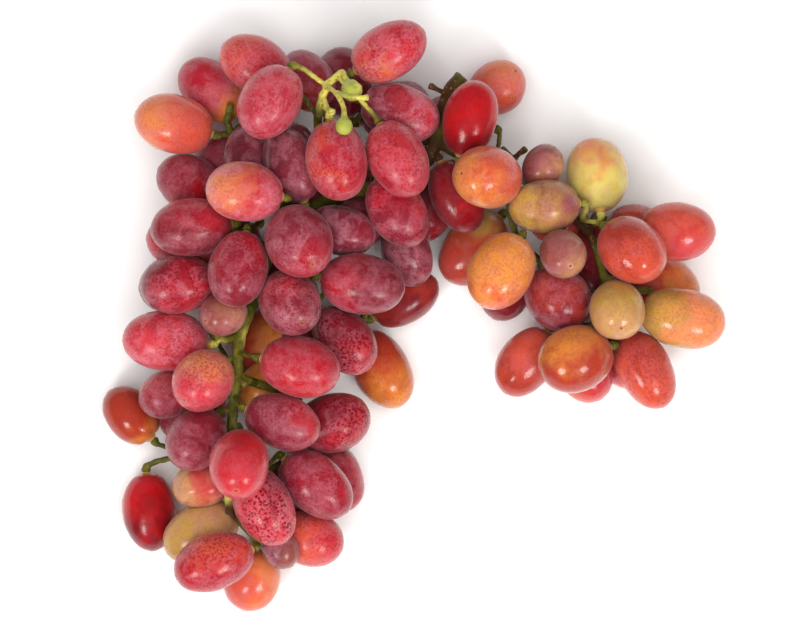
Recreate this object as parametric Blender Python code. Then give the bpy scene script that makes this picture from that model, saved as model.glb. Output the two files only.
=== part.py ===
"""A bunch of red table grapes, lying on a table as it was picked.

One branching stem carries every berry on a short stalk of its own. The bunch has a broad crown, a tapering
tail, and a wing: a side branch that bears a small bunch of its own.

The places below are hand-set, in millimetres. settle() then lets the berries press one another aside until
none overlap, as they do when a bunch is laid down, and grow_stalks() finds each berry's way back to the
nearest branch through the room that is left.

Frame: +Z up, the table at Z = 0, the origin under the middle of the bunch. +Y points from tail to crown.
"""

import math

import bmesh
import bpy
import numpy as np
from mathutils import Matrix, Vector

MM = 0.001

# ---- Driving dimensions, in millimetres ----
BERRY_SWELL = 1.0  # size of every berry against the lengths and widths listed below
SPREAD = 1.0  # how far the bunch spreads over the table, against the places listed below
GAP = 0.3  # clearance between two pieces that touch
PRESS = 1.8  # how deep two berries that are one solid sit in each other
RACHIS_RADIUS = 2.6  # main stem at its cut end
RACHIS_TIP_RADIUS = 1.6
BRANCH_RADIUS = 1.7  # side branch where it leaves the main stem
BRANCH_TIP_RADIUS = 1.2
STALK_RADIUS = 0.85  # a berry's own stalk
COLLAR_RADIUS = 1.8  # the swollen end of a stalk, against the berry
COLLAR_LENGTH = 2.4
STUB_RADIUS = 1.3  # the swollen end of a stalk whose berry has dropped
THINNEST = 0.45  # a stalk that berries squeeze is never thinner than this radius

# ---- Shape of a stalk's end ----
COLLAR_SHAPE = ((0, 1), (0.35, 0.9), (1, 0.45))  # how far along, how thick, against the collar's own sizes
STALK_INSIDE = 0.7  # a stalk begins this far along its collar

# ---- Fineness of the solids ----
BERRY_SEGMENTS = 9
BERRY_RINGS = 6
BEADS = 5  # round beads that stand for a berry while it settles
STEM_SIDES = 6
STALK_SIDES = 5
BRANCH_STEP = 6.0  # length of one stretch of branch, mm
CURVE_STEPS = 12  # fine steps between two of the points a branch grows through
CELL = 1.5  # side of one cell of the room that stalks grow through, mm
MARGIN = 20.0  # room kept round the berries on every side, mm
FAR = 4.0  # beyond this, it makes no difference how far a berry is, mm
NARROW = 1.5  # how much longer a way counts as it gets narrow
SWEEPS = 40  # passes over the room that measure the way from every cell
LONGEST_WALK = 200  # cells
DOOR = 3  # a stalk may start its way this many cells from its collar
ROUNDS = 120  # how many times each stalk is pulled taut
CLEAR_STALK = 2.3 * GAP  # clearance of a stalk that is pulled taut
LOWEST_STALK = 1.6  # height of a stalk's middle line above the table, mm
KEEP_EVERY = 5  # a stalk keeps bends at least half this many cells apart
CRUMB = 1.0  # a loose splinter or a closed hollow in the wood smaller than this is cleared, mm3

# ---- How the berries settle ----
SETTLE_STEPS = 1000  # at most
SETTLED = 0.5 * GAP  # they lie still once no clearance is short by more
HOLD_STEPS = 260  # steps during which a berry is also drawn back to its own place
HOLD = (0.3, 0.3, 0.12)  # share of the way back that it is drawn at each of them, along X, Y and Z
DEEP_HOLD = (0.06, 0.06, 0.06)  # the same for a berry that lies deep, which rolls to where there is room
LOW = 12.5  # a berry set lower than this rests on the table
SINK = 0.1  # mm that it sinks at each of those steps
LONGEST_MOVE = 1.5  # mm, at one step
PULL = 0.2  # share of the way that each of two berries of a cluster is drawn at each step
STALK_ROOM = ((0.45, 1.1), (1.5, 0.8))  # two beads beyond a berry: how far out, how big, against its collar
YIELD = 0.5  # share of an overlap that each of two berries gives way
SEEN_DRIFT = (0.35, 0.35, 1.0)  # how freely a berry that does not lie deep gives way along X, Y and Z

# Each berry: x, y, z of its middle, length, width (mm), heading, rise (degrees), tone.
# DEEP marks a berry that lies beneath others and is free to roll.
# Heading is the way the blossom end points, seen from above, from +X towards +Y; rise is how far it points up.
DEEP = True
CROWN = [
    (-50.3, 80, 30, 25, 18, 150, 5, "coral"),
    (-64, 69, 19, 25, 18, 138, -10, "crimson"),
    (-74.6, 59.7, 18, 26, 19, 165, 0, "coral"),
    (-45.9, 68, 46, 25, 19.4, 240, 10, "plum"),
    (-52.7, 39.6, 45, 25, 19.2, 172, 5, "coral"),
    (-40, 47.5, 31, 25, 17, 110, 0, "mauve"),
    (-8, 84.3, 34, 26, 18, 30, 5, "crimson"),
    (-4, 65, 30, 26, 18.4, -18, 0, "plum"),
    (-7, 49.6, 46, 26, 18.6, 298, 10, "crimson"),
    (-24.8, 49.3, 45, 26, 19.5, 280, 5, "plum"),
    (-6, 33.2, 32, 25.5, 18, 300, 5, "plum"),
]
MIDDLE = [
    (-71.4, 27.2, 35, 26.5, 18.5, 185, 5, "crimson"),
    (-37.4, 23, 47, 26, 21.5, 300, 48, "plum"),
    (-55, 14, 43, 25, 19, 258, 15, "plum"),
    (-75.5, 10, 31, 24.5, 18.8, 188, 5, "crimson"),
    (-40, 3.3, 43, 24, 19.5, 300, 50, "plum"),
    (-60.3, 0.3, 33, 16, 14, 200, 40, "mauve"),
    (-79.6, -8.2, 28, 28, 19.6, 176, 0, "crimson"),
    (-67.6, -21, 37, 22, 19, 225, 40, "coral"),
    (-90.4, -32.4, 8.3, 21, 16, 132, 0, "brick"),
    (-17, 10, 38, 27.5, 19.4, -9, 5, "plum"),
    (-22.5, -8, 27, 25, 18, -50, 0, "plum"),
    (-10.5, -17.5, 9.3, 27, 18.4, -62, 0, "brick"),
    (-37.1, -16, 42, 26, 19.6, -12, 5, "crimson"),
]
TAIL = [
    (-43, -33.6, 39, 25, 17.6, -19, 5, "plum"),
    (-26.5, -35, 24, 25, 19, 15, 0, "crimson"),
    (-69.8, -40, 31, 22, 18.5, 230, 20, "plum"),
    (-54.2, -47.2, 46, 25, 19.2, 264, 48, "crimson"),
    (-31.5, -54.3, 27, 27, 18.6, -40, 0, "crimson"),
    (-48.5, -61.5, 37, 27, 18.4, -62, 0, "plum"),
    (-52.3, -85, 10, 21, 18.6, 258, 0, "coral"),
    (-64.2, -77.9, 31, 26.6, 18.4, 200, 5, "crimson"),
    (-84.3, -64.3, 8.8, 25.5, 17.4, 275, 0, "burgundy"),
]
WING = [
    (17.8, 61.8, 32, 25, 17.4, 75, 5, "burgundy"),
    (13.5, 38.5, 26, 25, 16.5, 295, 0, "burgundy"),
    (24.3, 43, 40, 24, 20, 172, 45, "amber"),
    (58.2, 44.3, 25, 24.5, 20, 97, -15, "olive"),
    (28.4, 15.5, 34, 26, 20.4, 240, 15, "amber"),
    (46.9, 20.6, 36, 18, 15, 300, 60, "brick"),
    (46.5, 5.5, 24, 23, 20, -40, 0, "burgundy"),
    (39.8, -15, 9, 24.5, 17.5, 235, 0, "coral"),
    (52.1, -13.6, 32, 24.5, 21.4, 200, 10, "coral"),
    (65, 2, 38, 21, 18, 280, 55, "olive"),
    (70, 20.4, 36, 24, 19.8, 320, 20, "coral"),
    (83, 26.3, 17, 24.5, 19, -3, 0, "coral"),
    (86.2, -1, 28, 28, 19.2, -12, 0, "amber"),
    (74, -17.5, 27, 26.8, 17.4, -62, 0, "coral"),
]
REGIONS = {"crown": CROWN, "middle": MIDDLE, "tail": TAIL, "wing": WING}

# Berries of the lower layers that press together and are one solid; each touches one listed before it.
CLUSTERS = {
    "crown_left": [
        (-73, 44, 25, 22, 18, 155, 10, "plum"),
        (-64, 51, 9, 23, 17.5, 170, 0, "plum", DEEP),
        (-50, 60, 9, 22, 17, 120, 0, "crimson", DEEP),
    ],
    "crown_middle": [
        (-57.5, 52.5, 28, 20, 15.5, 85, -10, "mauve"),
        (-47, 46, 14, 22, 17, 60, 0, "plum", DEEP),
    ],
    "crown_back": [
        (-35, 75.5, 23, 21, 16.5, 120, 0, "mauve"),
        (-24, 68, 9, 23, 18, 100, 0, "crimson", DEEP),
        (-7, 67, 9, 24, 18, 20, 0, "crimson", DEEP),
        (13, 62, 10, 24, 18, 170, 0, "burgundy", DEEP),
        (27.1, 74, 11, 20, 17.3, 40, 42, "coral"),
    ],
    "crown_front": [
        (-22.5, 27.2, 31, 22, 16, -15, 0, "mauve"),
        (-20, 37, 14, 22, 17, 30, 0, "plum", DEEP),
        (-33, 30, 10, 22, 18, 235, 0, "crimson", DEEP),
        (-15, 53, 10, 22, 18, 60, 0, "plum", DEEP),
    ],
    "middle_left": [
        (-74, 25, 13, 25, 18, 175, 0, "crimson"),
        (-77, 9, 10, 24, 18, 185, 0, "crimson"),
        (-58, 15, 10, 23, 17.5, 220, 0, "plum", DEEP),
    ],
    "middle_right": [
        (6, 34.5, 14, 22, 16, 240, 0, "burgundy"),
        (-4.5, 20, 20, 22, 16, 290, -15, "plum"),
        (-3, 4.9, 9, 24, 15.6, 30, 0, "brick"),
    ],
    "middle_centre": [
        (-34, 12, 9, 23, 18, 300, 0, "plum", DEEP),
        (-50, -8, 12, 22, 16, 60, 0, "amber"),
        (-33, -11, 9, 23, 18, 200, 0, "crimson", DEEP),
        (-50, -23, 11, 22, 16, 30, 0, "amber"),
    ],
    "tail_left": [
        (-79, -25.5, 20, 20, 15.5, 200, 0, "mauve"),
        (-66, -30, 10, 23, 18, 210, 0, "crimson", DEEP),
        (-64, -47, 13, 21, 17, 230, 0, "mauve"),
        (-67, -56, 22, 19, 15, 190, 0, "mauve"),
        (-70, -68.5, 20, 26, 18.6, 210, 0, "olive"),
    ],
    "tail_right": [
        (-43.5, -75.2, 26, 14, 11.5, -60, 0, "mauve"),
        (-30.5, -73.5, 15, 22, 18, -20, 0, "coral"),
        (-45, -64, 10, 23, 17, 250, 0, "crimson", DEEP),
        (-38, -46, 9.5, 24, 18, 300, 0, "crimson", DEEP),
    ],
    "wing_near": [
        (18.5, 22.3, 9.6, 27, 19, 230, 0, "brick"),
        (31, 8, 9, 22, 17, 250, 0, "burgundy"),
        (46, 3, 9, 22, 17, 290, 0, "burgundy"),
    ],
    "wing_far": [
        (81.5, 6, 11, 24, 18, -28, 0, "coral"),
        (65.5, 3, 10.5, 20, 17, 10, -50, "coral", DEEP),
        (70, -13, 9, 23, 18, -40, 0, "coral"),
        (55, -14, 9, 21, 17, 300, 0, "coral"),
        (72, 23, 9.5, 22, 18, -20, 0, "coral", DEEP),
        (56, 21, 10, 22, 15, 270, 0, "burgundy"),
        (44.5, 35, 9, 22, 17.5, 330, 0, "coral", DEEP),
    ],
    "wing_top": [
        (40.7, 47.2, 28, 15.5, 13, 60, 20, "brick"),
        (40.3, 33.5, 27, 23, 17, 185, 5, "olive"),
    ],
}

# Each branch: radius at its root, radius at its tip, and the points it grows through (mm).
BRANCHES = {
    "rachis": (RACHIS_RADIUS, RACHIS_TIP_RADIUS, [
        (15.5, 76.5, 30), (11, 71, 29), (9, 64, 27), (7, 56, 25), (2, 47, 23), (-9, 42, 22), (-23, 39, 22),
        (-36, 32, 24), (-46, 21, 25), (-51, 6, 27), (-56, -7, 30), (-57, -20, 29), (-58.5, -33, 25),
        (-58.5, -46, 25), (-59.5, -56, 27), (-59, -64, 28),
    ]),
    "crown_shoot": (BRANCH_RADIUS, BRANCH_TIP_RADIUS, [
        (-23, 39, 22), (-28, 50, 24), (-31, 60, 30), (-30, 67, 40), (-28, 73, 47), (-23, 77.5, 47),
    ]),
    "crown_side": (BRANCH_RADIUS, BRANCH_TIP_RADIUS, [
        (-36, 32, 24), (-46, 38, 24), (-53, 47, 20), (-60, 60, 22), (-59, 68, 24),
    ]),
    "back_side": (BRANCH_RADIUS, BRANCH_TIP_RADIUS, [(7, 56, 25), (-3, 57, 19), (-13, 62, 20), (-18, 70, 22)]),
    "left_side": (BRANCH_RADIUS, BRANCH_TIP_RADIUS, [(-46, 21, 25), (-57, 27, 22), (-63, 35, 20)]),
    "left_low": (BRANCH_RADIUS, BRANCH_TIP_RADIUS, [(-56, -7, 30), (-63, -8, 24), (-67, -3, 19)]),
    "inner_side": (BRANCH_RADIUS, BRANCH_TIP_RADIUS, [(-46, 21, 25), (-34, 17, 24), (-23, 9, 22), (-14, 1, 17)]),
    "inner_low": (BRANCH_RADIUS, BRANCH_TIP_RADIUS, [(-57, -20, 29), (-48, -23, 24), (-37, -27, 20)]),
    "tail_side": (BRANCH_RADIUS, BRANCH_TIP_RADIUS, [(-58.5, -46, 25), (-50, -52, 22), (-43, -60, 20)]),
    "wing": (BRANCH_RADIUS, BRANCH_TIP_RADIUS, [
        (7, 56, 25), (17, 50, 22), (31, 45, 22), (43, 40, 22), (52, 31, 23), (58, 23, 22), (61, 12, 22),
        (62, 1, 20), (61, -9, 18),
    ]),
    "wing_inner": (BRANCH_RADIUS, BRANCH_TIP_RADIUS, [(31, 45, 22), (31, 34, 20), (33, 24, 18)]),
    "wing_outer": (BRANCH_RADIUS, BRANCH_TIP_RADIUS, [(61, 12, 22), (70, 8, 20), (77, 8, 19)]),
}
# Short twigs that end in the open, where a berry has dropped or never swelled; each starts at a point of a
# branch or of an earlier twig. The last number is the size of the shrivelled berry at the tip, 0 where it is bare.
TWIGS = {
    "tuft_hanging": ([(-28, 73, 47), (-25, 70.5, 56), (-22.5, 66, 61), (-22.3, 62, 62)], 5.6),
    "tuft_berry": ([(-23, 77.5, 47), (-22, 75.5, 51), (-21, 73.5, 52)], 7.0),
    "tuft_bent": ([(-25, 70.5, 56), (-19.5, 69, 57), (-14.5, 69, 57)], 0),
    "tuft_stub": ([(-30, 67, 40), (-27.5, 65.5, 48), (-26, 64.5, 52)], 0),
    "cut_twig": ([(11, 71, 29), (8, 72, 32), (5, 73.5, 34)], 0),
    "wing_fork_left": ([(31, 45, 22), (32, 50, 25), (28, 53.5, 27)], 0),
    "wing_fork_right": ([(32, 50, 25), (34, 52, 26), (36, 53.5, 26.5)], 0),
    "rachis_bud": ([(-57, -20, 29), (-54, -22.5, 33)], 0),
}

# Skin of each tone: colour, roughness
TONES = {
    "plum": ((0.28, 0.07, 0.11), 0.42),
    "mauve": ((0.19, 0.06, 0.09), 0.5),
    "crimson": ((0.36, 0.03, 0.05), 0.36),
    "coral": ((0.56, 0.14, 0.10), 0.34),
    "brick": ((0.30, 0.035, 0.02), 0.3),
    "burgundy": ((0.19, 0.008, 0.015), 0.28),
    "amber": ((0.56, 0.20, 0.06), 0.32),
    "olive": ((0.42, 0.28, 0.07), 0.36),
}
STEM_SKIN = ((0.20, 0.19, 0.05), 0.6)


def unit(vector):
    """The same direction, one long."""
    return vector / np.linalg.norm(vector)


def heading_vector(heading, rise):
    """Direction from the stem end of a berry to its blossom end."""
    turn = math.radians(heading)
    lift = math.radians(rise)
    return np.array([math.cos(lift) * math.cos(turn), math.cos(lift) * math.sin(turn), math.sin(lift)])


def smooth_route(points, step):
    """Evenly spaced points on the smooth curve (Catmull-Rom) through a branch's own points."""
    ends = [2 * points[0] - points[1], *points, 2 * points[-1] - points[-2]]
    fine = []
    for before, start, end, after in zip(ends, ends[1:], ends[2:], ends[3:]):
        for t in np.linspace(0, 1, CURVE_STEPS, endpoint=False):
            bend = 2 * before - 5 * start + 4 * end - after
            twist = 3 * start - before - 3 * end + after
            fine.append(0.5 * (2 * start + (end - before) * t + bend * t * t + twist * t ** 3))
    fine = np.array([*fine, points[-1]])
    travelled = np.concatenate([[0], np.cumsum(np.linalg.norm(np.diff(fine, axis=0), axis=1))])
    count = max(2, round(travelled[-1] / step) + 1)
    marks = np.linspace(0, travelled[-1], count)
    return np.stack([np.interp(marks, travelled, fine[:, k]) for k in range(3)], axis=1)


# ---------------------------------------------------------------- the berries and how they settle


class Bunch:
    """Every berry, as arrays: middles, directions, half lengths and half widths, in millimetres."""

    def __init__(self):
        self.names = []
        self.partner = []
        rows = []
        for region, berries in REGIONS.items():
            for number, berry in enumerate(berries, 1):
                self.names.append(f"{region}_grape_{number:02d}")
                self.partner.append(-1)
                rows.append(berry)
        for cluster, berries in CLUSTERS.items():
            first = len(rows)
            for berry in berries:
                self.names.append(f"{cluster}_under_grapes")
                self.partner.append(self.nearest_before(rows, first, berry))
                rows.append(berry)
        self.tones = [row[7] for row in rows]
        self.deep = np.array([len(row) > 8 for row in rows])
        self.middle = np.array([row[:3] for row in rows], dtype=float) * [SPREAD, SPREAD, 1]
        self.half = np.array([row[3] for row in rows]) / 2 * BERRY_SWELL
        self.girth = np.array([row[4] for row in rows]) / 2 * BERRY_SWELL
        self.axis = np.array([heading_vector(row[5], row[6]) for row in rows])
        self.count = len(rows)

    @staticmethod
    def nearest_before(rows, first, berry):
        """Index of the nearest berry already listed in the same cluster, or -1 for the first of it."""
        gaps = [math.dist(row[:3], berry[:3]) for row in rows[first:]]
        return first + gaps.index(min(gaps)) if gaps else -1

    def beads(self):
        """Beads inside each berry's skin, strung along its axis: middles (berry, bead, xyz) and radii."""
        reach = (self.half ** 2 - self.girth ** 2) / self.half
        along = np.linspace(-1, 1, BEADS) * reach[:, None]
        radii = self.girth[:, None] * np.sqrt(1 - along ** 2 / (self.half ** 2 - self.girth ** 2)[:, None])
        return self.middle[:, None] + self.axis[:, None] * along[:, :, None], radii

    def stalk_room(self):
        """Two small beads beyond each stem end, which keep room for the collar and the stalk."""
        far_out, size = np.transpose(STALK_ROOM)
        out = self.half[:, None] + far_out * COLLAR_LENGTH
        radii = np.full(out.shape, COLLAR_RADIUS) * size
        return self.middle[:, None] - self.axis[:, None] * out[:, :, None], radii

    def rest_height(self):
        """Height of each middle when the berry touches the table."""
        return np.sqrt(self.girth ** 2 + (self.half ** 2 - self.girth ** 2) * self.axis[:, 2] ** 2)


def pushes(spots_a, radii_a, spots_b, radii_b, spare):
    """How the pieces a must move to clear the pieces b: the push on each pair, and how deep they overlap."""
    count_a, beads_a = radii_a.shape
    count_b, beads_b = radii_b.shape
    gap = spots_a.reshape(-1, 1, 3) - spots_b.reshape(1, -1, 3)
    far = np.linalg.norm(gap, axis=2) + 1e-9
    spare = np.repeat(np.repeat(spare, beads_a, axis=0), beads_b, axis=1)
    deep = np.maximum(radii_a.reshape(-1, 1) + radii_b.reshape(1, -1) + spare - far, 0)
    lean = (gap * (deep / far)[:, :, None]).reshape(count_a, beads_a, count_b, beads_b, 3).sum(axis=(1, 3))
    depth = deep.reshape(count_a, beads_a, count_b, beads_b).max(axis=(1, 3))
    lean /= np.linalg.norm(lean, axis=2, keepdims=True) + 1e-9
    return lean * depth[:, :, None], depth


def spacing(bunch):
    """Clearance each pair of berries keeps; berries of one cluster may sit in each other."""
    same = np.array([[a == b for b in bunch.names] for a in bunch.names])
    spare = np.where(same, -PRESS, GAP)
    np.fill_diagonal(spare, -1e3)
    return spare


def cluster_pulls(bunch, spots, radii):
    """The pull on each berry of a cluster until it sits in its partner by PRESS, and the furthest it has to go."""
    pulls = np.zeros_like(bunch.middle)
    furthest = 0
    for berry, partner in enumerate(bunch.partner):
        if partner < 0:
            continue
        gap = spots[partner][None] - spots[berry][:, None]
        far = np.linalg.norm(gap, axis=2)
        clear = far - radii[berry][:, None] - radii[partner][None]
        near = np.unravel_index(clear.argmin(), clear.shape)
        to_go = max(clear[near] + PRESS, 0)
        furthest = max(furthest, to_go)
        pull = gap[near] / far[near] * to_go * PULL
        pulls[berry] += pull
        pulls[partner] -= pull
    return pulls, furthest


def settle(bunch, branch_beads, branch_radii):
    """Let the berries press one another aside, round the branches and above the table."""
    home = bunch.middle.copy()
    spare = spacing(bunch)
    room_spare = np.full((bunch.count, bunch.count), GAP)
    np.fill_diagonal(room_spare, -1e3)
    branch_spare = np.full((bunch.count, 1), GAP)
    drift = np.ones((bunch.count, 3))
    drift[~bunch.deep] = SEEN_DRIFT
    hold = np.where(bunch.deep[:, None], DEEP_HOLD, HOLD)
    low = home[:, 2] < LOW
    for step in range(SETTLE_STEPS):
        spots, radii = bunch.beads()
        room, room_radii = bunch.stalk_room()
        berry_push, berry_depth = pushes(spots, radii, spots, radii, spare)
        room_push, room_depth = pushes(spots, radii, room, room_radii, room_spare)
        branch_push, branch_depth = pushes(spots, radii, branch_beads[None], branch_radii[None], branch_spare)
        pulls, to_go = cluster_pulls(bunch, spots, radii)
        short = max(berry_depth.max(), room_depth.max(), branch_depth.max())
        if step > HOLD_STEPS and short < SETTLED and to_go < PRESS / 4:
            break
        move = berry_push.sum(axis=1) * YIELD
        move += room_push.sum(axis=1) * YIELD - room_push.sum(axis=0) * YIELD
        move += branch_push.sum(axis=1) + pulls
        bunch.middle += np.clip(move, -LONGEST_MOVE, LONGEST_MOVE) * drift
        if step < HOLD_STEPS:
            bunch.middle += hold * (home - bunch.middle)
            bunch.middle[low, 2] -= SINK
        bunch.middle[:, 2] = np.maximum(bunch.middle[:, 2], bunch.rest_height())
    moved = np.linalg.norm(bunch.middle[:, :2] - home[:, :2], axis=1)[~bunch.deep]
    print(f"settled after {step} steps; clearance short by {berry_depth.max():.2f} mm between berries, "
          f"{room_depth.max():.2f} at collars, {branch_depth.max():.2f} at branches; clusters {to_go:.2f} mm "
          f"short of PRESS; berries moved by up to {moved.max():.1f} mm")


# ---------------------------------------------------------------- the branches and the stalks


def branch_routes():
    """Every branch as evenly spaced points and a radius at each."""
    routes = []
    for root_radius, tip_radius, points in BRANCHES.values():
        places = [np.array(point, dtype=float) * [SPREAD, SPREAD, 1] for point in points]
        route = smooth_route(places, BRANCH_STEP)
        routes.append((route, np.linspace(root_radius, tip_radius, len(route))))
    return routes


def twig_routes():
    """The short bare twigs, each with a swollen tip."""
    routes = []
    for points, _ in TWIGS.values():
        places = [np.array(point, dtype=float) * [SPREAD, SPREAD, 1] for point in points]
        route = smooth_route(places, BRANCH_STEP / 2)
        radii = np.full(len(route), STALK_RADIUS)
        radii[0] = BRANCH_TIP_RADIUS
        radii[-1] = STUB_RADIUS
        routes.append((route, radii))
    return routes


def shot_berries(twigs):
    """The shrivelled berries at the tips of twigs: middle, direction, half length, half width."""
    for (route, _), (_, swelling) in zip(twigs, TWIGS.values()):
        if swelling:
            ahead = unit(route[-1] - route[-2])
            size = swelling / 2
            yield route[-1] + ahead * size * 0.8, ahead, size * 1.02, size


def beads_of(routes, twigs):
    """Closely spaced beads along branches and twigs, for the berries to keep clear of."""
    spots = []
    sizes = []
    for middle, _, half, _ in shot_berries(twigs):
        spots.append(middle)
        sizes.append(half)
    for route, radii in routes + twigs:
        for k in range(len(route) - 1):
            for t in (0, 0.5):
                spots.append(route[k] * (1 - t) + route[k + 1] * t)
                sizes.append(radii[k] * (1 - t) + radii[k + 1] * t)
        spots.append(route[-1])
        sizes.append(radii[-1])
    return np.array(spots), np.array(sizes)


class Room:
    """The open room round the berries, in cells, with the length of the way from each cell to a branch."""

    def __init__(self, bunch, branch_spots):
        spots, radii = bunch.beads()
        self.spots = spots.reshape(-1, 3)
        self.radii = radii.reshape(-1)
        self.corner = self.spots.min(axis=0) - MARGIN
        self.corner[2] = 0
        top = self.spots.max(axis=0) + MARGIN
        self.shape = tuple(np.ceil((top - self.corner) / CELL).astype(int))
        self.open = self.openness()
        self.way = self.flood(branch_spots)

    def cell(self, spot):
        """The cell that holds a spot."""
        return tuple(np.clip(((spot - self.corner) / CELL).astype(int), 1, np.array(self.shape) - 2))

    def spot(self, cell):
        """The middle of a cell."""
        return self.corner + (np.array(cell) + 0.5) * CELL

    def openness(self):
        """Distance from each cell to the nearest berry, up to FAR."""
        room = np.full(self.shape, FAR, dtype=np.float32)
        for spot, radius in zip(self.spots, self.radii):
            low = np.maximum(((spot - radius - FAR - self.corner) / CELL).astype(int), 0)
            high = np.minimum(((spot + radius + FAR - self.corner) / CELL).astype(int) + 2, self.shape)
            ticks = [np.arange(low[k], high[k]) for k in range(3)]
            mesh = np.stack(np.meshgrid(*ticks, indexing="ij"), axis=-1)
            far = np.linalg.norm(self.corner + (mesh + 0.5) * CELL - spot, axis=-1) - radius
            part = room[low[0]:high[0], low[1]:high[1], low[2]:high[2]]
            np.minimum(part, far, out=part)
        return room

    def flood(self, branch_spots):
        """Length of the shortest open way from each cell to a branch; narrow places count as longer."""
        blocked = self.open < STALK_RADIUS + 0.5 * GAP
        blocked[:, :, :1] = True
        effort = (CELL * (1 + NARROW / np.maximum(self.open, CELL / 3))).astype(np.float32)
        way = np.full(self.shape, np.inf, dtype=np.float32)
        source = tuple(np.array([self.cell(spot) for spot in branch_spots]).T)
        blocked[source] = False
        for edge in (blocked[0], blocked[-1], blocked[:, 0], blocked[:, -1], blocked[:, :, 0], blocked[:, :, -1]):
            edge[...] = True
        way[source] = 0
        for _ in range(SWEEPS):
            for move in self.moves():
                length = math.hypot(*move)
                there = np.roll(way, move, axis=(0, 1, 2)) + effort * length
                way = np.minimum(way, there)
            way[blocked] = np.inf
        self.effort = effort
        return way

    @staticmethod
    def moves():
        """The 26 steps from a cell to its neighbours."""
        steps = [(i, j, k) for i in (-1, 0, 1) for j in (-1, 0, 1) for k in (-1, 0, 1)]
        return [step for step in steps if step != (0, 0, 0)]

    def entrance(self, spot):
        """The open cell near a spot from which a branch is reached most easily."""
        middle = self.cell(spot)
        best = None
        for move in np.ndindex(2 * DOOR + 1, 2 * DOOR + 1, 2 * DOOR + 1):
            cell = tuple(np.clip(np.add(middle, move) - DOOR, 1, np.array(self.shape) - 2))
            if not np.isfinite(self.way[cell]):
                continue
            cost = self.way[cell] + FAR * np.linalg.norm(self.spot(cell) - spot)
            if best is None or cost < best[0]:
                best = (cost, cell)
        return best[1] if best else None

    def clearance(self, start, end, own=-1):
        """Shortest distance from a straight line to a berry's skin, other than the stalk's own berry."""
        line = start + np.linspace(0, 1, 6)[:, None] * (end - start)
        far = np.linalg.norm(line[:, None] - self.spots[None], axis=2) - self.radii
        if own >= 0:
            far[:, own * BEADS:(own + 1) * BEADS] = FAR
        return far.min()

    def walk(self, cell):
        """The cells from a berry's stalk end down to the nearest branch."""
        cells = [cell]
        while self.way[cell] > 0 and len(cells) < LONGEST_WALK:
            choices = [tuple(np.add(cell, move)) for move in self.moves()]
            costs = [self.way[near] + self.effort[cell] * math.dist(near, cell) for near in choices]
            cell = choices[int(np.argmin(costs))]
            if cell in cells:
                break
            cells.append(cell)
        return cells


def stalk_start(bunch, berry):
    """Where a stalk leaves its collar, and the collar's face against the berry."""
    out = -bunch.axis[berry]
    face = bunch.middle[berry] + out * (bunch.half[berry] + GAP)
    return face, face + out * COLLAR_LENGTH


def grow_stalks(bunch, routes):
    """A stalk from each berry's stem end to the nearest branch or to a stalk it meets on the way."""
    branch_spots = np.concatenate([smooth_route(list(route), 1.0) for route, _ in routes])
    room = Room(bunch, branch_spots)
    starts = [stalk_start(bunch, berry) for berry in range(bunch.count)]
    doors = [room.entrance(start[1]) for start in starts]
    lost = [bunch.names[k] for k, door in enumerate(doors) if door is None]
    if lost:
        print("no way to a branch for", lost)
    order = sorted((k for k in range(bunch.count) if doors[k]), key=lambda k: -room.way[doors[k]])
    taken = {}
    stalks = []
    for berry in order:
        points = [starts[berry][0], starts[berry][1]]
        meets = None
        for cell in room.walk(doors[berry]):
            if cell in taken:
                meets = taken[cell]
                break
            taken[cell] = (len(stalks), len(points))
            points.append(room.spot(cell))
        if meets is None:
            last = points[-1]
            points.append(branch_spots[np.linalg.norm(branch_spots - last, axis=1).argmin()])
        else:
            points.append(stalks[meets[0]]["points"][meets[1]])
        stalks.append({"berry": berry, "points": np.array(points), "meets": meets, "load": 1})
    for stalk in reversed(stalks):
        if stalk["meets"]:
            stalks[stalk["meets"][0]]["load"] += stalk["load"]
    straighten(stalks, room)
    return stalks, room


def stalk_radius(load):
    """A stalk that carries others is thicker."""
    return STALK_RADIUS * min(load, 4) ** 0.25


def straighten(stalks, room):
    """Pull each stalk taut without letting it into a berry."""
    for _ in range(ROUNDS):
        for stalk in stalks:
            points = stalk["points"]
            if stalk["meets"]:
                points[-1] = stalks[stalk["meets"][0]]["points"][stalk["meets"][1]]
            points[2:-1] = 0.5 * points[2:-1] + 0.25 * (points[1:-2] + points[3:])
            inner = points[2:-1]
            if not len(inner):
                continue
            gap = inner[:, None] - room.spots[None]
            far = np.linalg.norm(gap, axis=2)
            need = room.radii[None] + stalk_radius(stalk["load"]) + CLEAR_STALK - far
            worst = need.argmax(axis=1)
            rows = np.arange(len(inner))
            push = np.maximum(need[rows, worst], 0) / far[rows, worst]
            inner += gap[rows, worst] * push[:, None]
            inner[:, 2] = np.maximum(inner[:, 2], LOWEST_STALK)


def thin_out(stalks, room):
    """Keep bends well apart, each bend that another stalk grows from, and bends that pass round a berry."""
    kept_at = [set() for _ in stalks]
    for stalk in stalks:
        if stalk["meets"]:
            kept_at[stalk["meets"][0]].add(stalk["meets"][1])
    routes = []
    for number, stalk in enumerate(stalks):
        last = len(stalk["points"]) - 1
        keep = sorted({0, 1, last} | kept_at[number])
        for k in range(2, last):
            if min(abs(k - kept) for kept in keep) >= KEEP_EVERY / 2:
                keep.append(k)
        need = stalk_radius(stalk["load"]) + GAP / 2
        keep = pass_round(stalk["points"], sorted(keep), room, need)
        routes.append(stalk["points"][keep])
    return routes


def pass_round(points, keep, room, need):
    """Add a bend to each stretch that would cut into a berry, until none does or no bend is left."""
    kept = [keep[0]]
    for last in keep[1:]:
        stretch = [last]
        while stretch:
            end = stretch[-1]
            start = kept[-1]
            if start > 0 and end - start > 1 and room.clearance(points[start], points[end]) < need:
                stretch.append((start + end) // 2)
            else:
                kept.append(stretch.pop())
    return kept


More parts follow.
